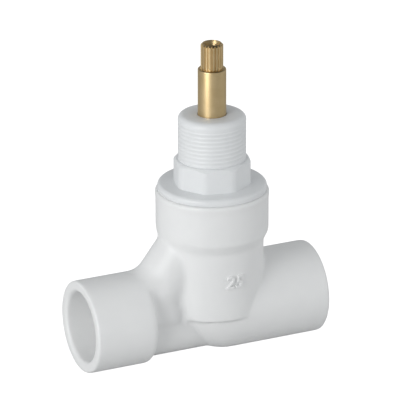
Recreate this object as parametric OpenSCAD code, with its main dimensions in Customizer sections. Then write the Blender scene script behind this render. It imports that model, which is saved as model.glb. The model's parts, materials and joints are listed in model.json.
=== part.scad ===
// Concealed stop valve with two solvent-weld sockets and a rising brass spindle.
// The pipe line crosses the spindle's axis at the origin: +X out of the inlet, +Z up the spindle.

/* [Sockets and pipe line] */
// Outer diameter of each pipe socket
socket_d = 33; // [31:0.5:36]
// Bore of each socket, the outside of the pipe that is cemented in
pipe_d = 25; // [20:0.5:26]
// Depth of the socket bore down to its stop
socket_depth = 18.5; // [14:0.5:20]
// Distance from the spindle axis to the mouth of the inlet socket
inlet_reach = 38.8; // [37:0.2:50]
// Distance from the spindle axis to the mouth of the outlet socket
outlet_reach = 51.3; // [49:0.2:60]
// Length of the thick hub round the outlet socket
outlet_hub_l = 23.3; // [21:0.1:25]
// Lead-in chamfer at the mouth of each bore
mouth_chamfer = 0.8; // [0.3:0.1:1.5]
// Rounding of the outer edge at each mouth
mouth_round = 0.6; // [0.2:0.1:1]
// Rounding of the inner shoulder of the outlet hub
hub_round = 2; // [1:0.1:3]
// Diameter of the waterway past the socket stops
waterway_d = 20; // [16:0.5:21]
// Wall at the blind end of the outlet waterway
outlet_wall = 2; // [1.5:0.1:4]

/* [Under the seat] */
// Radius of the bend line of the elbow that turns up to the seat
elbow_bend = 4.5; // [3.5:0.1:6]
// Diameter of the rib between the outlet hub and the elbow
rib_d = 20; // [16:0.5:22]
// Depth of the rib's centre line under the pipe line
rib_drop = 5.1; // [4:0.1:6]

/* [Barrel and slanted passage] */
// Diameter of the barrel at its foot
barrel_d = 35.5; // [34.5:0.1:37]
// Growth in diameter from the barrel's foot to the collar
barrel_growth = 1.1; // [0:0.1:1.5]
// Height of the barrel's flat foot, against the pipe line
ledge_z = -0.4; // [-1:0.1:0.5]
// Bore of the barrel chamber
chamber_d = 28; // [26:0.5:29]
// Outer diameter of the slanted passage
slant_d = 19.6; // [18:0.2:21]
// Bore of the slanted passage
slant_bore_d = 13; // [10:0.5:14]
// Slope of the slanted passage over the pipe line, in degrees
slant_angle = 52.2; // [48:0.2:56]
// Distance from the spindle axis to where the slanted axis meets the pipe line
slant_foot = 28.9; // [27:0.1:31]
// Length of the run-out under the slanted passage
slant_heel_l = 12; // [8:0.5:14]
// Fillet between the slanted passage and the barrel
slant_fillet = 2.6; // [1.5:0.1:3.5]
// Fillet over the crest of the outlet hub
hub_fillet = 7; // [4:0.5:9]
// Fillet between the barrel and the inlet pipe
inlet_fillet = 2; // [1:0.1:3]

/* [Seat] */
// Height of the seat's rim
seat_z = 13; // [12:0.1:14]
// Bore of the seat
seat_bore_d = 15; // [12:0.5:17]
// Width of the seat's raised rim
seat_rim_w = 1.6; // [1:0.1:2.5]
// Height of the seat's rim over the deck
seat_rim_h = 2; // [1:0.1:3]

/* [Collar] */
// Diameter of the collar
collar_d = 39.9; // [39:0.1:42]
// Extra diameter of the collar's lip
lip_step = 0.4; // [0.1:0.1:1]
// Height of the lip
lip_h = 2.4; // [1:0.1:4]
// Height at which the collar starts to grow out of the barrel
collar_foot_z = 25.4; // [24:0.1:27]
// Height of the slope under the collar
collar_slope_h = 3.6; // [2:0.1:5]
// Chamfer at the collar's top edge
collar_chamfer = 0.4; // [0.2:0.1:0.8]
// Height of the collar's top face
collar_top_z = 43.9; // [42:0.1:46]
// Bore of the collar, the size over the bonnet's body thread
collar_bore_d = 31.2; // [30:0.2:33]
// Length of the collar's bore
collar_bore_l = 12.5; // [10:0.5:14]

/* [Bonnet] */
// Diameter of the bonnet's flange
flange_d = 38.6; // [37:0.1:39.5]
// Height of the flange
flange_h = 2.5; // [2:0.1:4]
// Rounding of the flange's top edge
flange_round = 1.4; // [0.5:0.1:2]
// Rounding of the flange's lower edge
flange_foot_round = 0.3; // [0.1:0.1:0.5]
// Number of wrench flats
flats_n = 8; // [6:2:12]
// Size across the wrench flats
flats_w = 26; // [25.4:0.1:28]
// Height of the wrench flats
flats_h = 8.9; // [7:0.1:11]
// Inset of the turned chamfer over the wrench flats
flats_chamfer = 0.35; // [0.1:0.05:1]
// Turn of the wrench flats about the spindle, in degrees
flats_turn = -13.5; // [-22.5:0.5:22.5]
// Diameter over the trim thread on the neck
neck_d = 24; // [23:0.1:25]
// Length of the neck over the wrench flats
neck_l = 16.4; // [14:0.1:20]
// Rounding at the neck's top edge
neck_round = 1.5; // [0.5:0.1:2]
// Diameter of the skirt that hangs in the chamber
skirt_d = 27.4; // [25:0.1:28]
// Bore of the skirt
skirt_bore_d = 24.6; // [23:0.1:25]
// Length of the skirt under the collar's bore
skirt_l = 5.4; // [4:0.1:7]
// Width of the two guide slots in the skirt
guide_slot_w = 5; // [4:0.1:6]
// Groove for the bonnet's sealing ring, across and down
seal_groove = 2.5; // [2:0.1:3]

/* [Spindle] */
// Lift of the spindle from shut to fully open
lift = 6; // [4:0.5:6]
// Diameter of the shank that stands out of the bonnet
shank_d = 10; // [9:0.1:11]
// Height of the shoulder under the spline
shoulder_z = 88.5; // [85:0.5:95]
// Diameter over the spline's teeth
spline_d = 8; // [7:0.1:8.6]
// Length of the spline
spline_l = 9.2; // [8:0.1:12]
// Number of teeth on the spline
spline_teeth = 20; // [16:1:24]
// Depth of the spline's grooves
spline_depth = 0.45; // [0.3:0.05:0.6]
// Chamfer at the spline's end
spline_chamfer = 0.8; // [0.3:0.1:1]
// Core diameter of the tapped hole for the handle's screw
screw_hole_d = 4.2; // [3.3:0.1:4.5]
// Depth of the tapped hole
screw_hole_l = 12; // [8:0.5:16]
// Countersink at the mouth of the tapped hole
screw_hole_mouth = 0.9; // [0.3:0.1:1.2]
// Chamfer at the shank's shoulder and at the stub's end
shank_chamfer = 0.5; // [0.2:0.1:0.8]
// Diameter of the gland length that carries the rings
gland_d = 12.8; // [12:0.1:13.4]
// Land of the gland length over its upper ring
gland_end_l = 0.8; // [0.5:0.1:1.5]
// Diameter over the lifting thread
lift_thread_d = 16; // [15:0.1:17]
// Chamfer at both ends of the lifting thread
thread_chamfer = 1; // [0.5:0.1:1.5]
// Height of the thread's lower end with the valve shut
lift_thread_z = 31; // [30.5:0.1:32]
// Diameter of the stub that turns in the washer carrier
stub_d = 10; // [9:0.1:11]
// Length of the stub
stub_l = 9.4; // [8.5:0.1:10]
// Section of the spindle rings
ring_w = 1.4; // [1.2:0.05:1.6]
// Distance between the two spindle rings
ring_pitch = 4.2; // [3.5:0.1:5]
// Thickness of the slip washer over the gland length
slip_t = 1; // [0.6:0.1:1.5]

/* [Threaded bush] */
// Outer diameter of the brass bush in the bonnet
bush_d = 21; // [20:0.1:21.6]
// Length of the bush
bush_l = 12; // [10:0.1:13]

/* [Washer carrier] */
// Diameter of the carrier's cup
carrier_d = 23; // [22:0.1:24]
// Thickness of the carrier's disc
carrier_disc_t = 3.2; // [2.5:0.1:4]
// Rounding of the carrier's disc and cup
carrier_round = 0.5; // [0.2:0.1:0.8]
// Diameter of the carrier's sleeve
sleeve_d = 17; // [16:0.1:18]
// Reach of the guide lugs from the axis
lug_reach = 13.2; // [12.8:0.1:13.4]
// Height of the guide lugs
lug_h = 3; // [2:0.1:3.5]
// Diameter of the seat washer
washer_d = 20.6; // [19:0.1:21]
// Thickness of the seat washer
washer_t = 3.6; // [3:0.1:4]
// Depth of the washer inside the carrier's cup
washer_set = 2.4; // [1.5:0.1:3]
// Section of the retaining clip
clip_w = 1.6; // [1.2:0.1:1.8]
// Diameter of the plate under the seat washer
plate_d = 10; // [8:0.1:11]
// Thickness of the plate
plate_t = 1; // [0.6:0.1:1.5]
// Diameter of the screw that holds the washer
washer_screw_d = 4; // [3:0.5:5]
// Diameter of that screw's head
screw_head_d = 6.8; // [6:0.1:8]
// Height of the screw's head
screw_head_h = 2.4; // [1.8:0.1:3]
// Width of the slot in the screw's head
screw_slot_w = 0.8; // [0.6:0.1:1.2]
// Depth of the slot in the screw's head
screw_slot_h = 1; // [0.5:0.1:1.4]
// Wall of the carrier's disc over the screw's tip
screw_tip_wall = 0.8; // [0.5:0.1:1.2]

/* [Clearances] */
// Radial clearance of a running fit
run_gap = 0.05; // [0.03:0.01:0.08]
// Radial clearance between fixed pieces
fit_gap = 0.03; // [0.01:0.01:0.05]
// Radial play of the bonnet's thread in the collar
thread_gap = 0.1; // [0.06:0.01:0.2]
// Clearance between faces that pass or face each other
face_gap = 0.3; // [0.2:0.05:0.5]

/* [Hidden] */
$fn = 96;
fillet_steps = 20;
fillet_arc = 6;
far = 200;
// What a cut or a hidden overlap runs past its face.
over = 1;
// How far a fillet sinks into its bars along their faces, and its root under the corner.
fillet_bite = 0.06;
fillet_root = 1.2;
// Turns about the first bar over which each fillet runs, in degrees.
inlet_fillet_turn = 94;
hub_fillet_turn = 54;
slant_fillet_turns = [38, 140];
// How the run-out's ends differ from the passage's radius, and how many sides they have.
heel_inset = 0.3;
heel_growth = 0.6;
heel_sides = 32;
// How far the collar's slope is eased at its ends, across and up.
slope_ease = [0.4, 0.9];
// Half widths of the spline's crest and groove floor, as shares of the pitch.
tooth_crest = 0.22;
tooth_floor = 0.12;

socket_r = socket_d / 2;
pipe_r = pipe_d / 2;
way_r = waterway_d / 2;
barrel_r = barrel_d / 2;
barrel_top_r = barrel_r + barrel_growth / 2;
collar_r = collar_d / 2;
chamber_r = chamber_d / 2;
slant_r = slant_d / 2;
seat_bore_r = seat_bore_d / 2;
deck_z = seat_z - seat_rim_h;
collar_bore_r = collar_bore_d / 2;
collar_bore_z = collar_top_z - collar_bore_l;
hub_end = outlet_reach - outlet_hub_l;
slant_side = [-sin(slant_angle), cos(slant_angle)];
slant_start = [-slant_foot, 0];
slant_reach = (collar_foot_z + collar_slope_h) / sin(slant_angle);
slant_bore_reach = (slant_foot - chamber_r + slant_bore_d / 2) / cos(slant_angle);

flats_z = collar_top_z + flange_h;
neck_z = flats_z + flats_h;
neck_top_z = neck_z + neck_l;
skirt_z = collar_bore_z - skirt_l;
groove_z = collar_top_z - seal_groove;
groove_r = collar_bore_r + seal_groove / 2;
groove_core_r = groove_r - seal_groove;

thread_r = lift_thread_d / 2;
thread_top_z = neck_z - lift - face_gap;
bush_r = bush_d / 2;
bush_z = thread_top_z - bush_l;
gland_r = gland_d / 2;
shank_r = shank_d / 2;
ring_r = ring_w / 2;
ring_low_z = neck_z + ring_r + face_gap;
ring_high_z = ring_low_z + ring_pitch;
gland_top_z = ring_high_z + ring_r + gland_end_l;
lip_z = gland_top_z + slip_t + lift + face_gap;
ring_floor_r = gland_r + run_gap - ring_w;
spline_r = spline_d / 2;
spline_top_z = shoulder_z + spline_l;
screw_hole_r = screw_hole_d / 2;
stub_r = stub_d / 2;
stub_z = lift_thread_z - stub_l;

disc_z = seat_z + washer_t;
carrier_r = carrier_d / 2;
carrier_top_z = lift_thread_z - face_gap;
sleeve_r = sleeve_d / 2;
washer_r = washer_d / 2;
clip_z = stub_z + stub_l / 2;
clip_in = stub_r - clip_w;
screw_r = washer_screw_d / 2;
screw_top_z = disc_z + carrier_disc_t - screw_tip_wall;

// A solid of revolution about the pipe line, drawn with the distance along +X upwards.
module along_pipe() rotate([0, 90, 0]) children();

function swing(a, b, t) = let (w = acos(a * b)) (a * sin((1 - t) * w) + b * sin(t * w)) / sin(w);

// Centre of a ball of radius r that rolls outside two round bars in the XZ plane.
// Each bar is given by a point, the normal on the ball's side and a radius.
function ball_at(turn, r, pa, na, ra, pb, nb, rb) =
    let (y = (ra + r) * sin(turn), ka = (ra + r) * cos(turn) + pa * na,
        kb = sqrt(pow(rb + r, 2) - y * y) + pb * nb, det = na[0] * nb[1] - na[1] * nb[0])
    [(ka * nb[1] - kb * na[1]) / det, y, (na[0] * kb - nb[0] * ka) / det];

// Section of the fillet: an arc of the ball from bar to bar, closed by a point inside both.
function fillet_section(turn, r, pa, na, ra, pb, nb, rb) =
    let (c = ball_at(turn, r, pa, na, ra, pb, nb, rb),
        to_a = -[na[0] * cos(turn), sin(turn), na[1] * cos(turn)],
        side = sqrt(pow(rb + r, 2) - c[1] * c[1]),
        to_b = -[nb[0] * side, c[1], nb[1] * side] / (rb + r),
        root = (to_a + to_b) / (1 + to_a * to_b))
    concat([c + (r + fillet_bite) * to_a],
        [for (j = [1 : fillet_arc - 1]) c + r * swing(to_a, to_b, j / fillet_arc)],
        [c + (r + fillet_bite) * to_b, c + (r + fillet_root) * root]);

// Fillet of radius r between two round bars, over a range of turns about the first bar.
module bar_fillet(from, to, r, pa, na, ra, pb, nb, rb) {
    sections = [for (i = [0 : fillet_steps])
        fillet_section(from + (to - from) * i / fillet_steps, r, pa, na, ra, pb, nb, rb)];
    n = fillet_arc + 2;
    sides = [for (i = [0 : fillet_steps - 1], j = [0 : n - 1])
        let (a = i * n + j, b = i * n + (j + 1) % n) each [[a, b, b + n], [a, b + n, a + n]]];
    caps = [[for (j = [n - 1 : -1 : 0]) j], [for (j = [0 : n - 1]) fillet_steps * n + j]];
    polyhedron(points = [for (s = sections) each s], faces = concat(sides, caps), convexity = 6);
}

// A bar with its outer edges rounded, from the origin up.
module rounded_bar(r, h, low_round, high_round) rotate_extrude() intersection() {
    square([r, h]);
    union() {
        translate([0, low_round]) square([r, h - low_round - high_round]);
        square([r - high_round, h - high_round]);
        translate([0, low_round]) square([r - high_round, h - low_round]);
        square([r - low_round, h - high_round]);
        if (low_round > 0) translate([r - low_round, low_round]) circle(low_round);
        translate([r - high_round, h - high_round]) circle(high_round);
    }
}

// Bore for a pipe, with its lead-in, going down from z = 0.
module pipe_bore() {
    translate([0, 0, -socket_depth]) cylinder(r = pipe_r, h = socket_depth + over);
    translate([0, 0, -mouth_chamfer])
        cylinder(r1 = pipe_r, r2 = pipe_r + 2 * mouth_chamfer, h = 2 * mouth_chamfer);
}

module inlet_pipe_outside() translate([elbow_bend, 0, 0]) along_pipe()
    rounded_bar(socket_r, inlet_reach - elbow_bend, 0, mouth_round);

// Heel of the elbow: the pipe's section swept a quarter turn up from the pipe line.
module elbow_heel() translate([elbow_bend, 0, elbow_bend]) rotate([90, 0, 0])
    rotate([0, 0, 180]) rotate_extrude(angle = 90) intersection() {
        translate([elbow_bend, 0]) circle(socket_r);
        translate([0, -socket_r]) square([elbow_bend + socket_r, 2 * socket_r]);
    }

module outlet_hub_outside() translate([-outlet_reach, 0, 0]) along_pipe()
    rounded_bar(socket_r, outlet_hub_l, mouth_round, hub_round);

module rib() translate([-hub_end - hub_round, 0, -rib_drop]) along_pipe()
    cylinder(d = rib_d, h = hub_end + hub_round);

module barrel_outside() translate([0, 0, ledge_z])
    cylinder(r1 = barrel_r, r2 = barrel_top_r, h = collar_foot_z + collar_slope_h / 2 - ledge_z);

module above_ledge() translate([-far / 2, -far / 2, ledge_z]) cube(far);

// Slanted passage outside, run out flat at the height of the barrel's foot.
module slant_outside() intersection() {
    union() {
        slanted() translate([0, 0, -slant_r]) cylinder(r = slant_r, h = slant_reach + slant_r);
        hull() {
            slanted() cylinder(r = slant_r - heel_inset, h = slant_heel_l, $fn = heel_sides);
            translate([-hub_end - hub_round, 0, 0]) along_pipe()
                cylinder(r = slant_r + heel_growth, h = slant_heel_l, $fn = heel_sides);
        }
    }
    above_ledge();
}

module slanted() translate([-slant_foot, 0, 0]) rotate([0, 90 - slant_angle, 0]) children();

module collar_outside() rotate_extrude() {
    slope_top = collar_foot_z + collar_slope_h;
    polygon([[0, collar_foot_z], [barrel_top_r, collar_foot_z],
        [barrel_top_r + slope_ease[0], collar_foot_z + slope_ease[1]],
        [collar_r - slope_ease[0], slope_top - slope_ease[1]],
        [collar_r, slope_top], [collar_r, collar_top_z - lip_h],
        [collar_r + lip_step / 2, collar_top_z - lip_h + lip_step],
        [collar_r + lip_step / 2, collar_top_z - collar_chamfer],
        [collar_r + lip_step / 2 - collar_chamfer, collar_top_z], [0, collar_top_z]]);
}

module body_fillets() intersection() {
    union() {
        bar_fillet(-inlet_fillet_turn, inlet_fillet_turn, inlet_fillet,
            [0, 0], [0, 1], socket_r, [0, 0], [1, 0], barrel_r);
        for (turns = [[slant_fillet_turns[1], slant_fillet_turns[0]], -slant_fillet_turns])
            bar_fillet(turns[0], turns[1], slant_fillet,
                slant_start, slant_side, slant_r, [0, 0], [-1, 0], barrel_r);
        bar_fillet(-hub_fillet_turn, hub_fillet_turn, hub_fillet,
            slant_start, slant_side, slant_r, [0, 0], [0, 1], socket_r);
    }
    above_ledge();
}

module waterways() {
    translate([inlet_reach, 0, 0]) along_pipe() pipe_bore();
    along_pipe() {
        cylinder(r = way_r, h = inlet_reach - over);
        sphere(way_r);
    }
    cylinder(r = seat_bore_r, h = seat_z + over);
    translate([-outlet_reach, 0, 0]) rotate([0, -90, 0]) pipe_bore();
    translate([over - outlet_reach, 0, 0]) along_pipe()
        cylinder(r = way_r, h = outlet_hub_l - over - outlet_wall);
    slanted() cylinder(d = slant_bore_d, h = slant_bore_reach);
}

module chamber() {
    difference() {
        translate([0, 0, deck_z]) cylinder(r = chamber_r, h = collar_top_z);
        translate([0, 0, deck_z - over])
            cylinder(r = seat_bore_r + seat_rim_w, h = seat_rim_h + over);
    }
    translate([0, 0, collar_bore_z]) cylinder(r = collar_bore_r, h = collar_top_z);
    translate([0, 0, groove_z]) cylinder(r = groove_r, h = collar_top_z);
}

module body() color("whitesmoke") difference() {
    union() {
        inlet_pipe_outside();
        elbow_heel();
        outlet_hub_outside();
        rib();
        barrel_outside();
        slant_outside();
        collar_outside();
        body_fillets();
    }
    waterways();
    chamber();
}

// A regular prism of eight sides, stated by its size across the flats.
module flats(h) rotate([0, 0, 180 / flats_n + flats_turn])
    cylinder(d = flats_w / cos(180 / flats_n), h = h, $fn = flats_n);

module bonnet_outside() {
    translate([0, 0, skirt_z]) cylinder(d = skirt_d, h = flats_z - skirt_z - over);
    translate([0, 0, collar_bore_z + face_gap])
        cylinder(r = collar_bore_r - thread_gap, h = groove_z - collar_bore_z - face_gap);
    translate([0, 0, groove_z - over]) cylinder(r = groove_core_r, h = seal_groove + 2 * over);
    translate([0, 0, collar_top_z])
        rounded_bar(flange_d / 2, flange_h, flange_foot_round, flange_round);
    translate([0, 0, flats_z - over]) intersection() {
        flats(flats_h + over);
        cylinder(r1 = flats_w / 2 - flats_chamfer + flats_h + over,
            r2 = flats_w / 2 - flats_chamfer, h = flats_h + over);
    }
    translate([0, 0, flats_z]) rounded_bar(neck_d / 2, neck_top_z - flats_z, 0, neck_round);
}

module bonnet_inside() {
    translate([0, 0, skirt_z - over]) cylinder(d = skirt_bore_d, h = bush_z - skirt_z + over);
    translate([0, 0, bush_z - over]) cylinder(r = bush_r + fit_gap, h = bush_l + over);
    translate([0, 0, thread_top_z - over])
        cylinder(r = thread_r + face_gap, h = neck_z - thread_top_z + over);
    translate([0, 0, neck_z - over]) cylinder(r = gland_r + run_gap, h = lip_z - neck_z + over);
    translate([0, 0, lip_z - over]) cylinder(r = shank_r + run_gap, h = far);
    for (side = [0, 180]) rotate([0, 0, side])
        translate([0, -guide_slot_w / 2, skirt_z - over])
            cube([skirt_d / 2 + face_gap, guide_slot_w, bush_z - skirt_z + over]);
}

module bonnet() color("gainsboro") difference() {
    bonnet_outside();
    bonnet_inside();
}

// A sealing ring of round section, centred on a height.
module o_ring(radius, section_r, z) translate([0, 0, z])
    rotate_extrude() translate([radius, 0]) circle(section_r);

module bonnet_seal() color("dimgray")
    o_ring((groove_r + groove_core_r) / 2, seal_groove / 2 - fit_gap, groove_z + seal_groove / 2);

module thread_bush() color("goldenrod") translate([0, 0, bush_z]) difference() {
    cylinder(r = bush_r, h = bush_l);
    translate([0, 0, -over]) cylinder(r = thread_r + run_gap, h = bush_l + 2 * over);
}

// Outline of the spline: flat-topped teeth with narrower grooves between them.
module spline_outline() {
    floor_r = spline_r - spline_depth;
    polygon([for (i = [0 : spline_teeth - 1], corner = [[spline_r, -tooth_crest],
        [spline_r, tooth_crest], [floor_r, 0.5 - tooth_floor], [floor_r, 0.5 + tooth_floor]])
        let (turn = 360 / spline_teeth * (i + corner[1])) corner[0] * [cos(turn), sin(turn)]]);
}

module spline() translate([0, 0, shoulder_z - over]) intersection() {
    linear_extrude(spline_l + over) spline_outline();
    cylinder(r1 = spline_r - spline_chamfer + spline_l + over, r2 = spline_r - spline_chamfer,
        h = spline_l + over);
}

module ring_groove(z) translate([0, 0, z - ring_r - fit_gap]) difference() {
    cylinder(r = gland_r + over, h = ring_w + 2 * fit_gap);
    translate([0, 0, -over]) cylinder(r = ring_floor_r, h = ring_w + 2 * over);
}

module clip_groove() translate([0, 0, clip_z - clip_w / 2 - run_gap]) difference() {
    cylinder(r = stub_r + over, h = clip_w + 2 * run_gap);
    translate([0, 0, -over]) cylinder(r = clip_in - run_gap, h = clip_w + 2 * over);
}

module spindle() color("goldenrod") difference() {
    union() {
        spline();
        rotate_extrude() polygon([[0, stub_z], [stub_r - shank_chamfer, stub_z],
            [stub_r, stub_z + shank_chamfer], [stub_r, lift_thread_z],
            [thread_r - thread_chamfer, lift_thread_z], [thread_r, lift_thread_z + thread_chamfer],
            [thread_r, thread_top_z - thread_chamfer], [thread_r - thread_chamfer, thread_top_z],
            [gland_r, thread_top_z], [gland_r, gland_top_z], [shank_r, gland_top_z],
            [shank_r, shoulder_z - shank_chamfer], [shank_r - shank_chamfer, shoulder_z],
            [0, shoulder_z]]);
    }
    ring_groove(ring_low_z);
    ring_groove(ring_high_z);
    clip_groove();
    translate([0, 0, spline_top_z - screw_hole_l])
        cylinder(r = screw_hole_r, h = screw_hole_l + over);
    translate([0, 0, spline_top_z - screw_hole_mouth])
        cylinder(r1 = screw_hole_r, r2 = screw_hole_r + 2 * screw_hole_mouth,
            h = 2 * screw_hole_mouth);
}

module spindle_ring(z) color("dimgray") o_ring(gland_r + run_gap / 2 - ring_r, ring_r - run_gap / 2, z);

module spindle_ring_upper() spindle_ring(ring_high_z);

module spindle_ring_lower() spindle_ring(ring_low_z);

module slip_washer() color("white") translate([0, 0, gland_top_z]) difference() {
    cylinder(r = gland_r - fit_gap, h = slip_t);
    translate([0, 0, -over]) cylinder(r = shank_r + fit_gap, h = slip_t + 2 * over);
}

module clip_legs(extra) for (side = [-1, 1])
    translate([-sleeve_r, side * (clip_in + clip_w / 2) - clip_w / 2 - extra, clip_z - clip_w / 2 - extra])
        cube([2 * sleeve_r + face_gap, clip_w + 2 * extra, clip_w + 2 * extra]);

module washer_carrier() color("goldenrod") difference() {
    union() {
        translate([0, 0, disc_z - washer_set])
            rounded_bar(carrier_r, carrier_disc_t + washer_set, carrier_round, carrier_round);
        translate([0, 0, disc_z]) cylinder(r = sleeve_r, h = carrier_top_z - disc_z);
        translate([-lug_reach, -guide_slot_w / 2 + face_gap, carrier_top_z - lug_h])
            cube([2 * lug_reach, guide_slot_w - 2 * face_gap, lug_h]);
    }
    translate([0, 0, disc_z - far]) cylinder(r = washer_r + fit_gap, h = far);
    translate([0, 0, stub_z - face_gap]) cylinder(r = stub_r + run_gap, h = far);
    translate([0, 0, disc_z - over])
        cylinder(r = screw_r + fit_gap, h = screw_top_z - disc_z + over + face_gap);
    clip_legs(fit_gap);
}

module carrier_clip() color("silver") {
    clip_legs(0);
    translate([sleeve_r + face_gap, -clip_in - clip_w, clip_z - clip_w / 2])
        cube([clip_w, 2 * (clip_in + clip_w), clip_w]);
}

module seat_washer() color("dimgray") translate([0, 0, seat_z]) difference() {
    cylinder(r = washer_r, h = washer_t);
    translate([0, 0, -over]) cylinder(r = screw_r + fit_gap, h = washer_t + 2 * over);
}

module washer_plate() color("goldenrod") translate([0, 0, seat_z - plate_t]) difference() {
    cylinder(d = plate_d, h = plate_t);
    translate([0, 0, -over]) cylinder(r = screw_r + fit_gap, h = plate_t + 2 * over);
}

module washer_screw() color("goldenrod") translate([0, 0, seat_z - plate_t - screw_head_h]) difference() {
    union() {
        cylinder(r = screw_r, h = screw_top_z - seat_z + plate_t + screw_head_h);
        cylinder(d = screw_head_d, h = screw_head_h);
    }
    translate([-screw_head_d, -screw_slot_w / 2, -over])
        cube([2 * screw_head_d, screw_slot_w, screw_slot_h + over]);
}

body();
bonnet();
bonnet_seal();
thread_bush();
spindle();
spindle_ring_upper();
spindle_ring_lower();
slip_washer();
washer_carrier();
carrier_clip();
seat_washer();
washer_plate();
washer_screw();
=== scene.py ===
import json
import math

import bmesh
import bpy
from mathutils import Matrix, Vector


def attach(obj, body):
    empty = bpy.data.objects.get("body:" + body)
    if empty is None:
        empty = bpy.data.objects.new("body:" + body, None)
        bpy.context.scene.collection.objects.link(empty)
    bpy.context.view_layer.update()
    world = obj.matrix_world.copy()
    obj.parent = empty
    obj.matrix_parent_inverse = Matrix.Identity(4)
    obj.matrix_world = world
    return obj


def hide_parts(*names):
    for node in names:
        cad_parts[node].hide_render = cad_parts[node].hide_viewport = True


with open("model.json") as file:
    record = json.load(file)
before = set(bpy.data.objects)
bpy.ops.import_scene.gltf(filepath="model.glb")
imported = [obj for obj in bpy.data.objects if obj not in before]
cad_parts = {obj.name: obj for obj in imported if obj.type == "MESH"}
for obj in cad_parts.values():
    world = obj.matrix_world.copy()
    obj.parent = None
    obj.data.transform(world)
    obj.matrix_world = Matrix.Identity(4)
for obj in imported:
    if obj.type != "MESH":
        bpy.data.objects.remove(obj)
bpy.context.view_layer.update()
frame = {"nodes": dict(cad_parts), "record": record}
mm = 0.001
turn = 2 * math.pi

camera = {
    "azimuth": -25.37,  # degrees, 0 looks along +Y
    "elevation": 21.39,
    "roll": -0.1,
    "aim": (-4.69, 0, 40.0),  # mm from where the pipe line crosses the spindle
    "distance": 1353.9,  # mm
    "focalPixels": 3852,
    "picturePixels": 400,
    "sensorWidth": 36,  # mm
    "clip": (0.05, 20),  # metres
}


def outward(azimuth, elevation):
    az, el = math.radians(azimuth), math.radians(elevation)
    return Vector((math.sin(az) * math.cos(el), -math.cos(az) * math.cos(el), math.sin(el)))


def facing(back):
    return (-back).to_track_quat("-Z", "Y").to_matrix()


def addCamera():
    data = bpy.data.cameras.new("camera")
    data.sensor_width = camera["sensorWidth"]
    data.lens = camera["focalPixels"] / camera["picturePixels"] * data.sensor_width
    data.clip_start, data.clip_end = camera["clip"]
    eye = bpy.data.objects.new("camera", data)
    bpy.context.scene.collection.objects.link(eye)
    back = outward(camera["azimuth"], camera["elevation"])
    aim = Vector(camera["aim"]) * mm
    face = facing(back) @ Matrix.Rotation(math.radians(camera["roll"]), 3, "Z")
    eye.matrix_world = Matrix.Translation(aim + back * camera["distance"] * mm) @ face.to_4x4()
    bpy.context.scene.camera = eye


addCamera()
print("camera set")


class Link:
    def __init__(self, tree, socket=None):
        self.tree, self.socket = tree, socket

    def add(self, kind, settings=None, inputs=None, out=0):
        node = self.tree.nodes.new(kind)
        for name, value in (settings or {}).items():
            setattr(node, name, value)
        for name, value in (inputs or {}).items():
            self.feed(node.inputs[name], value)
        return Link(self.tree, node.outputs[out])

    def feed(self, socket, value):
        if isinstance(value, Link):
            self.tree.links.new(value.socket, socket)
        else:
            socket.default_value = value

    def maths(self, operation, a, b=0.0):
        return self.add("ShaderNodeMath", {"operation": operation}, {0: a, 1: b})

    def __add__(self, other):
        return self.maths("ADD", self, other)

    def __sub__(self, other):
        return self.maths("SUBTRACT", self, other)

    def __mul__(self, other):
        return self.maths("MULTIPLY", self, other)

    def __rsub__(self, other):
        return self.maths("SUBTRACT", other, self)

    __radd__, __rmul__ = __add__, __mul__

    def clamp(self):
        return self.add("ShaderNodeClamp", None, {"Value": self})

    def mix(self, low, high):
        sockets = {"Factor": self, 6: (*low, 1), 7: (*high, 1)}  # 6 and 7 take colours
        return self.add("ShaderNodeMix", {"data_type": "RGBA"}, sockets, 2)


def newShader(name, constants, slotColor):
    material = bpy.data.materials.new(name)
    material.use_nodes = True
    material.diffuse_color = (*slotColor, 1)
    tree = material.node_tree
    surface = tree.nodes["Principled BSDF"]
    for socket, value in constants.items():
        surface.inputs[socket].default_value = value
    start = Link(tree)
    place = start.add("ShaderNodeTexCoord", None, None, "Object")
    return material, surface, place


def grain(place, scale, detail=2.0, stretch=(1, 1, 1)):
    where = place.add("ShaderNodeVectorMath", {"operation": "MULTIPLY"}, {0: place, 1: stretch})
    inputs = {"Vector": where, "Scale": scale, "Detail": detail}
    return place.add("ShaderNodeTexNoise", None, inputs)


def bump(height, strength, distance):
    inputs = {"Strength": strength, "Distance": distance, "Height": height}
    return height.add("ShaderNodeBump", None, inputs)


moulding = {
    "body": ((0.825, 0.83, 0.83), (0.86, 0.865, 0.86)),  # darker and lighter end of the mottling
    "bonnet": ((0.77, 0.785, 0.795), (0.815, 0.83, 0.835)),
    "slip": ((0.82, 0.82, 0.80), (0.86, 0.86, 0.84)),
    "ior": 1.5,
    "roughness": 0.38,
    "roughnessSpread": 0.08,
    "mottling": 160,  # per metre
    "mottlingDetail": 3.0,
    "skinGrain": 2600,  # per metre
    "skinStrength": 0.25,
    "skinDepth": 0.02 * mm,
}


def plastic(name, tones):
    m = moulding
    material, surface, place = newShader(name, {"IOR": m["ior"]}, tones[1])
    cloud = grain(place, m["mottling"], m["mottlingDetail"])
    skin = grain(place, m["skinGrain"])
    place.feed(surface.inputs["Base Color"], cloud.mix(*tones))
    rough = m["roughness"] + m["roughnessSpread"] * (cloud - 0.5)
    place.feed(surface.inputs["Roughness"], rough)
    place.feed(surface.inputs["Normal"], bump(skin, m["skinStrength"], m["skinDepth"]))
    return material


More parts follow.
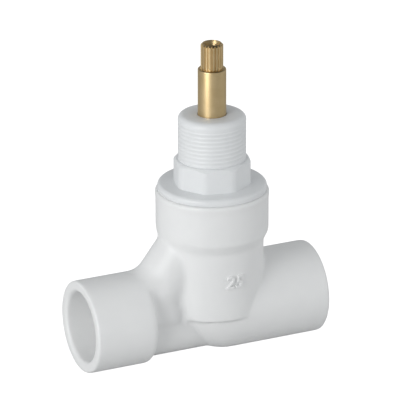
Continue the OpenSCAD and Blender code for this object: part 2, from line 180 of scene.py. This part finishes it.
metal = {
    "brass": ((0.64, 0.47, 0.23), (0.80, 0.63, 0.37)),  # deep and pale end of the tarnish
    "steel": ((0.50, 0.50, 0.50), (0.68, 0.68, 0.67)),
    "roughness": 0.39,
    "tarnish": 260,  # per metre
    "tarnishDetail": 3.0,
    "tarnishSpread": 0.10,  # how far it changes the roughness
    "latheLines": 900,  # per metre up the spindle, before the stretch
    "latheStretch": (0.3, 0.3, 9.0),
    "latheDetail": 1.0,
    "latheSpread": 0.12,
    "latheStrength": 0.35,
    "latheDepth": 0.006 * mm,
}


def turned(name, tones):
    m = metal
    material, surface, place = newShader(name, {"Metallic": 1.0}, tones[1])
    tarnish = grain(place, m["tarnish"], m["tarnishDetail"])
    lines = grain(place, m["latheLines"], m["latheDetail"], m["latheStretch"])
    place.feed(surface.inputs["Base Color"], tarnish.mix(*tones))
    rough = m["roughness"] + m["latheSpread"] * (lines - 0.5)
    rough = rough + m["tarnishSpread"] * (tarnish - 0.5)
    place.feed(surface.inputs["Roughness"], rough)
    place.feed(surface.inputs["Normal"], bump(lines, m["latheStrength"], m["latheDepth"]))
    return material


seal = {
    "tones": ((0.022, 0.022, 0.023), (0.055, 0.055, 0.056)),
    "shown": (0.05, 0.05, 0.05),  # tone in a plain viewport
    "ior": 1.45,
    "bloom": 700,  # per metre
    "bloomDetail": 3.0,
    "roughness": 0.62,
    "roughnessSpread": 0.16,
    "bloomStrength": 0.2,
    "bloomDepth": 0.03 * mm,
}


def rubber(name):
    s = seal
    material, surface, place = newShader(name, {"IOR": s["ior"]}, s["shown"])
    bloom = grain(place, s["bloom"], s["bloomDetail"])
    place.feed(surface.inputs["Base Color"], bloom.mix(*s["tones"]))
    rough = s["roughness"] + s["roughnessSpread"] * (bloom - 0.5)
    place.feed(surface.inputs["Roughness"], rough)
    place.feed(surface.inputs["Normal"], bump(bloom, s["bloomStrength"], s["bloomDepth"]))
    return material


finishes = {
    "body_moulding": plastic("moulded white", moulding["body"]),
    "bonnet_moulding": plastic("moulded bonnet white", moulding["bonnet"]),
    "slip_plastic": plastic("slip washer white", moulding["slip"]),
    "brass": turned("turned brass", metal["brass"]),
    "clip_steel": turned("drawn steel", metal["steel"]),
    "seal_rubber": rubber("seal rubber"),
}
for part in frame["record"]["subparts"]:
    node = frame["nodes"][part["node"]]
    node.data.materials.clear()
    node.data.materials.append(finishes[part["material_slot"]])
print("materials ready")

making = {
    "steps": 96,  # faces round a full turn
    "weld": 0.002 * mm,  # points closer than this become one
    "near": 0.01 * mm,  # how far off a ring an edge may be and still belong to it
}


def spinRing(bm, outline):
    verts = [bm.verts.new((r * mm, 0, z * mm)) for r, z in outline]
    edges = [bm.edges.new(pair) for pair in zip(verts, verts[1:] + verts[:1])]
    bmesh.ops.spin(
        bm, geom=verts + edges, cent=(0, 0, 0), axis=(0, 0, 1), dvec=(0, 0, 0),
        angle=turn, steps=making["steps"], use_merge=True)


def block(size, middle):
    bm = bmesh.new()
    verts = bmesh.ops.create_cube(bm, size=1)["verts"]
    bmesh.ops.scale(bm, verts=verts, vec=size)
    bmesh.ops.translate(bm, verts=verts, vec=middle)
    return bm


def cone(footR, topR, depth, middleZ, sides=making["steps"]):
    bm = bmesh.new()
    bmesh.ops.create_cone(
        bm, segments=sides, radius1=footR * mm, radius2=topR * mm, depth=depth * mm,
        cap_ends=True, matrix=Matrix.Translation((0, 0, middleZ * mm)))
    return bm


def roundEdges(bm, edges, width, segments, clamp=False):
    bmesh.ops.bevel(
        bm, geom=edges, offset=width * mm, offset_type="OFFSET", segments=segments,
        profile=0.5, affect="EDGES", material=-1, clamp_overlap=clamp)


def roundRing(bm, r, z, width, segments=3):
    def onRing(v):
        upright, outwards = abs(v.co.z - z * mm), abs(v.co.xy.length - r * mm)
        return upright < making["near"] and outwards < making["near"]

    edges = [e for e in bm.edges if onRing(e.verts[0]) and onRing(e.verts[1])]
    roundEdges(bm, edges, width, segments)


def newPiece(name, bm, sharpAngle=32):
    bmesh.ops.remove_doubles(bm, verts=bm.verts, dist=making["weld"])
    bmesh.ops.recalc_face_normals(bm, faces=bm.faces)
    sharp = math.radians(sharpAngle)
    for face in bm.faces:
        face.smooth = True
    for edge in bm.edges:
        edge.smooth = len(edge.link_faces) == 2 and edge.calc_face_angle() < sharp
    mesh = bpy.data.meshes.new(name)
    bm.to_mesh(mesh)
    bm.free()
    piece = bpy.data.objects.new(name, mesh)
    bpy.context.scene.collection.objects.link(piece)
    return piece


def settle(piece, slot, body, *nodes):
    piece.data.materials.clear()
    piece.data.materials.append(finishes[slot])
    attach(piece, body)
    if nodes:
        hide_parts(*nodes)


def evaluated(piece):
    bpy.context.view_layer.update()
    bm = bmesh.new()
    bm.from_object(piece, bpy.context.evaluated_depsgraph_get())
    bpy.data.objects.remove(piece)
    return bm


def carve(bm, cutter, operation="DIFFERENCE", solver="EXACT"):
    solid, tool = newPiece("solid", bm), newPiece("tool", cutter)
    cut = solid.modifiers.new("cut", "BOOLEAN")
    cut.operation, cut.solver, cut.object = operation, solver, tool
    shaped = evaluated(solid)
    bpy.data.objects.remove(tool)
    return shaped


def join(bm, other):
    mesh = bpy.data.meshes.new("joined")
    other.to_mesh(mesh)
    other.free()
    bm.from_mesh(mesh)
    bpy.data.meshes.remove(mesh)
    return bm


def remeshed(bm, voxel):
    rough = newPiece("rough", bm)
    skin = rough.modifiers.new("skin", "REMESH")
    skin.mode, skin.voxel_size = "VOXEL", voxel
    return evaluated(rough)


def soften(bm, verts, passes):
    for step in range(passes):
        bmesh.ops.smooth_vert(
            bm, verts=verts, factor=0.5, use_axis_x=True, use_axis_y=True, use_axis_z=True)


def within(point, low, high):
    return all(low[i] * mm < point[i] < high[i] * mm for i in range(3))


def only(kind, geom):
    return [item for item in geom if isinstance(item, kind)]


body = {
    "voxel": 0.42,  # mm
    "softening": 5,  # passes over the whole moulding
    "hollow": 1.3,  # radius that fills the creases inside the next box
    "hollowBox": ((-36, -17.5, -5), (-8, 17.5, 24)),
    "blends": (  # low corner, high corner, more passes
        ((-31, -17, 1), (-15, 17, 18), 22),
        ((-27.6, -15, -4), (-16.5, 15, 5), 25),
        ((-27, -16, 3), (-6, 16, 31), 20),
    ),
    "kept": 0.5,  # share of the faces that the last step keeps
    "sharpAngle": 180,  # all of the skin is shaded smooth
}


def fillCreases(bm):
    filled = bm.copy()
    for reach in (body["hollow"], -body["hollow"]):  # out, then back in
        filled.normal_update()
        for v, normal in [(v, v.normal.copy()) for v in filled.verts]:
            v.co += normal * reach * mm
        filled = remeshed(filled, body["voxel"] * mm)
    low, high = (Vector(corner) * mm for corner in body["hollowBox"])
    filled = carve(filled, block(high - low, (high + low) / 2), "INTERSECT", "MANIFOLD")
    return remeshed(join(bm, filled), body["voxel"] * mm)


def makeBody():
    bm = bmesh.new()
    bm.from_mesh(frame["nodes"]["body"].data)
    bm = fillCreases(remeshed(bm, body["voxel"] * mm))
    soften(bm, bm.verts, body["softening"])
    for low, high, passes in body["blends"]:
        soften(bm, [v for v in bm.verts if within(v.co, low, high)], passes)
    piece = newPiece("valve_body", bm, body["sharpAngle"])
    thin = piece.modifiers.new("thin", "DECIMATE")
    thin.ratio = body["kept"]
    settle(piece, "body_moulding", "fixed_body", "body")


makeBody()
print("body made")

number = {
    "text": "25",
    "height": 14.5,  # mm from the pipe line up to its middle
    "size": 6.6,
    "lean": 0.12,
    "relief": 0.65,  # mm out of the barrel and as far in, before the bevel
    "bevel": 0.12,
    "weld": 0.001,
    "voxel": 0.09,
    "softening": 3,
    "barrelFoot": 17.75,  # radius of the barrel at its foot
    "barrelTop": 18.3,  # and at its top
    "barrelZ": (-0.4, 27.2),  # height of its foot and its top
}


def makeNumber():
    text = bpy.data.curves.new("number", "FONT")
    text.body, text.size, text.shear = number["text"], number["size"], number["lean"]
    text.align_x, text.align_y = "CENTER", "CENTER"
    text.extrude, text.bevel_depth, text.bevel_resolution = number["relief"], number["bevel"], 1
    holder = bpy.data.objects.new("number", text)
    bpy.context.scene.collection.objects.link(holder)
    raised = bpy.data.meshes.new_from_object(holder)
    bm = bmesh.new()
    bm.from_mesh(raised)
    bpy.data.objects.remove(holder)
    bpy.data.meshes.remove(raised)
    bmesh.ops.remove_doubles(bm, verts=bm.verts, dist=number["weld"])
    bm = remeshed(bm, number["voxel"])
    soften(bm, bm.verts, number["softening"])
    low, high = number["barrelZ"]
    for v in bm.verts:  # from the flat text in mm to the round of the barrel
        z = v.co.y + number["height"]
        share = (z - low) / (high - low)
        r = number["barrelFoot"] + share * (number["barrelTop"] - number["barrelFoot"])
        angle, r = v.co.x / r, r + v.co.z
        v.co = Vector((r * math.sin(angle), -r * math.cos(angle), z)) * mm
    settle(newPiece("number_25", bm), "body_moulding", "fixed_body")


makeNumber()
print("number made")

bonnet = {
    "skirt": (13.7, 26.0),  # radius and foot, mm above the pipe line
    "skirtRound": 0.4,
    "collarThread": (15.5, 31.7),
    "sealGroove": (14.35, 41.4),
    "flange": (19.3, 43.9, 46.4),  # radius, underside and top
    "flangeRound": 1.3,
    "rimRound": 0.3,
    "neck": 12.0,  # radius over the thread
    "neckTop": 71.7,
    "neckRound": 2.0,
    "roundSegments": 6,
    "lipBore": (5.05, 69.3),  # radius and foot
    "glandBore": (6.45, 55.3),
    "threadBore": (8.3, 49.0),
    "bushBore": (10.53, 37.0),
    "skirtBore": 12.3,
    "slot": 5.0,  # width of the slots that the carrier's lugs run in
    "slotReach": 28.0,
    "slotBelow": 2,  # how far the cutter passes the skirt
    "flats": 8,
    "flatsAcross": 26.0,
    "flatsTop": 55.3,
    "flatsSink": 0.6,
    "flatsTurn": -13.5,
    "flatsEdge": 1.7,
    "flatsChamfer": 0.35,
    "flatsHole": (11.0, 20),  # radius and length of the cutter round the neck
    "crown": (12.2, 2.2, 0.35),  # edges that are rounded: least radius, reach, least angle
    "crownRound": 0.2,
    "threadDepth": 0.13,
    "threadPitch": 1.5,
    "threadFoot": 54.8,
    "threadTop": 69.4,
    "threadTurns": 9.6,
    "threadSink": 0.4,  # how far its ridge reaches into the neck
    "threadShares": (0.80, 0.72, 0.42, 0.2),  # of half the pitch, from the sunk edge to the crest
    "crestGap": 0.02,  # keeps the crest under the neck's radius
    "crestRound": 0.06,
    "threadTaper": 0.6,
}


def makeBonnet():
    b = bonnet
    flangeR, flangeZ, flatsZ = b["flange"]
    skirtR, skirtZ = b["skirt"]
    lipR, lipZ = b["lipBore"]
    root = b["neck"] - b["threadDepth"]
    bm = bmesh.new()
    spinRing(bm, [
        b["skirt"], (skirtR, b["collarThread"][1]), b["collarThread"],
        (b["collarThread"][0], b["sealGroove"][1]), b["sealGroove"], (b["sealGroove"][0], flangeZ),
        (flangeR, flangeZ), (flangeR, flatsZ), (root, flatsZ), (root, b["threadTop"]),
        (b["neck"], b["threadTop"]), (b["neck"], b["neckTop"]),
        (lipR, b["neckTop"]), b["lipBore"], (b["glandBore"][0], lipZ),
        b["glandBore"], (b["threadBore"][0], b["glandBore"][1]), b["threadBore"],
        (b["bushBore"][0], b["threadBore"][1]), b["bushBore"], (b["skirtBore"], b["bushBore"][1]),
        (b["skirtBore"], skirtZ)])
    roundRing(bm, flangeR, flatsZ, b["flangeRound"], b["roundSegments"])
    roundRing(bm, flangeR, flangeZ, b["rimRound"])
    roundRing(bm, b["neck"], b["neckTop"], b["neckRound"], b["roundSegments"])
    roundRing(bm, lipR, b["neckTop"], b["rimRound"])
    roundRing(bm, skirtR, skirtZ, b["skirtRound"])
    high = b["bushBore"][1] - skirtZ
    size = (b["slotReach"] * mm, b["slot"] * mm, (high + b["slotBelow"]) * mm)
    middle = (0, 0, (skirtZ + high / 2 - b["slotBelow"] / 2) * mm)
    bm = carve(bm, block(size, middle))
    bm = join(bm, makeFlats())
    addTrimThread(bm, root)
    settle(newPiece("valve_bonnet", bm), "bonnet_moulding", "fixed_body", "bonnet")


def makeFlats():
    b = bonnet
    foot, top = b["flange"][2] - b["flatsSink"], b["flatsTop"]
    inner, middle, halfSide = b["flatsAcross"] / 2, (top + foot) / 2, turn / b["flats"] / 2
    corner = inner / math.cos(halfSide)
    prism = cone(corner, corner, top - foot, middle, b["flats"])
    upright = [e for e in prism.edges if abs(e.verts[0].co.z - e.verts[1].co.z) > 1 * mm]
    roundEdges(prism, upright, b["flatsEdge"], b["roundSegments"])
    spun = Matrix.Rotation(halfSide + math.radians(b["flatsTurn"]), 3, "Z")
    bmesh.ops.rotate(prism, verts=prism.verts, cent=(0, 0, 0), matrix=spun)
    sloped = cone(inner + top - foot, inner - b["flatsChamfer"], top - foot, middle)
    prism = carve(prism, sloped, "INTERSECT")
    holeR, holeLength = b["flatsHole"]
    prism = carve(prism, cone(holeR, holeR, holeLength, middle))
    leastR, below, leastAngle = b["crown"]
    crown = [e for e in prism.edges if min(v.co.z for v in e.verts) > (top - below) * mm
             and min(v.co.xy.length for v in e.verts) > leastR * mm
             and len(e.link_faces) == 2 and e.calc_face_angle() > leastAngle]
    roundEdges(prism, crown, b["crownRound"], 2, True)
    return prism


def addTrimThread(bm, root):
    b = bonnet
    crest, half = b["neck"] - b["crestGap"], b["threadPitch"] / 2
    radii = (root - b["threadSink"], root, crest - b["crestRound"], crest)
    lower = [(r, -share) for r, share in zip(radii, b["threadShares"])]
    section = lower + [(r, -share) for r, share in reversed(lower)]
    section = [(r, b["threadFoot"] + share * half) for r, share in section]
    verts = [bm.verts.new((r * mm, 0, z * mm)) for r, z in section]
    edges = [bm.edges.new(pair) for pair in zip(verts, verts[1:] + verts[:1])]
    bm.faces.new(verts)
    steps = round(making["steps"] * b["threadTurns"])
    last = bmesh.ops.spin(
        bm, geom=verts + edges, cent=(0, 0, 0), axis=(0, 0, 1),
        dvec=(0, 0, b["threadPitch"] * b["threadTurns"] / steps * mm),
        angle=turn * b["threadTurns"], steps=steps)["geom_last"]
    end = only(bmesh.types.BMVert, last)
    middle = sum((v.co for v in end), Vector()) / len(end)
    bmesh.ops.scale(
        bm, verts=end, vec=(b["threadTaper"],) * 3, space=Matrix.Translation(-middle))
    bmesh.ops.contextual_create(bm, geom=only(bmesh.types.BMEdge, last))


makeBonnet()
print("bonnet made")

spindle = {
    "stub": (5.0, 21.6),  # radius and foot, mm above the pipe line
    "stubChamfer": 0.5,
    "clipGroove": (3.35, 25.45, 27.15),  # radius, foot and top
    "thread": (8.0, 31.0, 49.0),
    "threadChamfer": 1,
    "gland": (6.4, 62.0),  # radius and top
    "grooveFloor": 5.05,
    "grooves": ((55.57, 57.03), (59.77, 61.23)),  # foot and top of each ring's groove
    "shank": (5.0, 88.5),
    "shoulderRound": 0.5,
    "socket": (2.9, 4),  # radius and depth of the hollow under the spline
    "teeth": 20,
    "splineTop": 97.7,
    "splineSink": 0.5,  # how far the spline stands in the shank
    "crest": 4.0,
    "crestFall": 0.05,
    "root": 3.55,
    "crestHalf": 0.24,  # shares of the pitch
    "rootHalf": 0.10,
    "topChamfer": 0.7,
    "hole": (2.1, 12.0),  # radius and depth
    "holeTip": 0.8,
    "holeMouth": 3.1,
    "mouthDepth": 1.9,
    "cutterOver": 2,  # how far a cutter passes what it cuts
    "sharpAngle": 28,
}


def makeSpindle():
    s = spindle
    stubR, stubZ = s["stub"]
    low, high = s["grooves"]
    threadR, threadFoot, threadTop = s["thread"]
    glandR, glandTop = s["gland"]
    shankR, shoulder = s["shank"]
    clipR, clipLow, clipHigh = s["clipGroove"]
    socketR, socketDepth = s["socket"]
    floor, stubCut, threadCut = s["grooveFloor"], s["stubChamfer"], s["threadChamfer"]
    bm = bmesh.new()
    spinRing(bm, [
        (0, stubZ), (stubR - stubCut, stubZ), (stubR, stubZ + stubCut), (stubR, clipLow),
        (clipR, clipLow), (clipR, clipHigh), (stubR, clipHigh), (stubR, threadFoot),
        (threadR - threadCut, threadFoot), (threadR, threadFoot + threadCut),
        (threadR, threadTop - threadCut), (threadR - threadCut, threadTop),
        (glandR, threadTop), (glandR, low[0]), (floor, low[0]), (floor, low[1]), (glandR, low[1]),
        (glandR, high[0]), (floor, high[0]), (floor, high[1]), (glandR, high[1]),
        (glandR, glandTop), (shankR, glandTop), (shankR, shoulder), (socketR, shoulder),
        (socketR, shoulder - socketDepth), (0, shoulder - socketDepth)])
    roundRing(bm, shankR, shoulder, s["shoulderRound"])
    bm = join(bm, makeSpline(shoulder))
    piece = newPiece("valve_spindle", bm, s["sharpAngle"])
    settle(piece, "brass", "spindle_group", "spindle")


def makeSpline(shoulder):
    s = spindle
    pitch, side = turn / s["teeth"], s["crest"] - s["crestFall"]
    tooth = (
        (-s["crestHalf"], side), (0, s["crest"]), (s["crestHalf"], side),
        (0.5 - s["rootHalf"], s["root"]), (0.5 + s["rootHalf"], s["root"]))
    spline = bmesh.new()
    outline = []
    for count in range(s["teeth"]):
        for share, r in tooth:
            angle = (count + share) * pitch
            corner = Vector((r * math.cos(angle), r * math.sin(angle), shoulder - s["splineSink"]))
            outline.append(spline.verts.new(corner * mm))
    raised = bmesh.ops.extrude_face_region(spline, geom=[spline.faces.new(outline)])["geom"]
    rise = (0, 0, (s["splineTop"] - shoulder + s["splineSink"]) * mm)
    bmesh.ops.translate(spline, verts=only(bmesh.types.BMVert, raised), vec=rise)
    top, over, narrow = s["splineTop"], s["cutterOver"], s["crest"] - s["topChamfer"]
    depth = top - shoulder + over
    spline = carve(spline, cone(narrow + depth, narrow, depth, top - depth / 2), "INTERSECT")
    holeR, holeDepth = s["hole"]
    drill = bmesh.new()
    spinRing(drill, [
        (0, top - holeDepth - s["holeTip"]), (holeR, top - holeDepth),
        (holeR, top - s["mouthDepth"]), (s["holeMouth"], top), (s["holeMouth"], top + over),
        (0, top + over)])
    return carve(spline, drill)


makeSpindle()
print("spindle made")

light = {
    "key": (-64, 15, 900, 600, 3.9),  # azimuth, elevation, distance and size in mm, watts
    "fill": (62, 14, 1100, 440, 2.1),
    "aim": (0, 0, 40),
    "sky": (0.965, 0.985, 1.0),
    "horizon": 0.62,  # strength of the sky
    "zenith": 0.42,
    "card": (40, 0.25, 2.2, 0.12),  # dark patch in reflections: azimuth, rise, sharpness, depth
    "cardEdge": 0.5,  # where the patch starts, as a cosine
    "overhead": 1.1,  # how much darker the sky is in reflections from above
    "floorZ": -16.5,
    "floorRadius": 6.0,  # metres
    "floorTone": (0.70, 0.70, 0.70),
    "floorRoughness": 0.9,
    "floorGlow": (1.35, 0.8),  # seen by the camera only: strength and share
}


def addLight(name, azimuth, elevation, distance, size, watts):
    data = bpy.data.lights.new(name, "AREA")
    data.shape, data.size, data.energy = "DISK", size * mm, watts
    lamp = bpy.data.objects.new(name, data)
    bpy.context.scene.collection.objects.link(lamp)
    back = outward(azimuth, elevation)
    place = Vector(light["aim"]) * mm + back * distance * mm
    lamp.matrix_world = Matrix.Translation(place) @ facing(back).to_4x4()
    return lamp


def addSky():
    world = bpy.data.worlds.new("studio")
    bpy.context.scene.world = world
    world.use_nodes = True
    sky = world.node_tree.nodes["Background"]
    sky.inputs["Color"].default_value = (*light["sky"], 1)
    start = Link(world.node_tree)
    toward = start.add("ShaderNodeTexCoord", None, None, "Generated")
    height = start.add("ShaderNodeSeparateXYZ", None, {"Vector": toward}, "Z").clamp()
    strength = light["horizon"] + (light["zenith"] - light["horizon"]) * height
    azimuth, rise, sharpness, depth = light["card"]
    card = outward(azimuth, 0)
    card.z = rise
    near = start.add(
        "ShaderNodeVectorMath", {"operation": "DOT_PRODUCT"}, {0: toward, 1: card}, "Value")
    shaded = ((near - light["cardEdge"]) * sharpness).clamp() * depth + light["overhead"] * height
    mirrored = start.add("ShaderNodeLightPath", None, None, "Is Glossy Ray")
    start.feed(sky.inputs["Strength"], strength * (1 - mirrored * shaded.clamp()))


def addFloor():
    bm = bmesh.new()
    bmesh.ops.create_circle(
        bm, cap_ends=True, segments=making["steps"], radius=light["floorRadius"])
    bmesh.ops.translate(bm, verts=bm.verts, vec=(0, 0, light["floorZ"] * mm))
    floor = newPiece("floor", bm)
    material = bpy.data.materials.new("floor")
    material.use_nodes = True
    tree = material.node_tree
    surface = tree.nodes["Principled BSDF"]
    surface.inputs["Base Color"].default_value = (*light["floorTone"], 1)
    surface.inputs["Roughness"].default_value = light["floorRoughness"]
    strength, share = light["floorGlow"]
    matt = Link(tree, surface.outputs[0])
    bright = matt.add("ShaderNodeEmission", None, {"Color": (1, 1, 1, 1), "Strength": strength})
    seen = matt.add("ShaderNodeLightPath", None, None, "Is Camera Ray")
    both = matt.add("ShaderNodeMixShader", None, {0: seen * share, 1: matt, 2: bright})
    tree.links.new(both.socket, tree.nodes["Material Output"].inputs["Surface"])
    floor.data.materials.append(material)


addLight("key", *light["key"])
addLight("fill", *light["fill"]).visible_glossy = False
addSky()
addFloor()
bpy.context.scene.view_settings.view_transform = "Standard"
print("studio set")
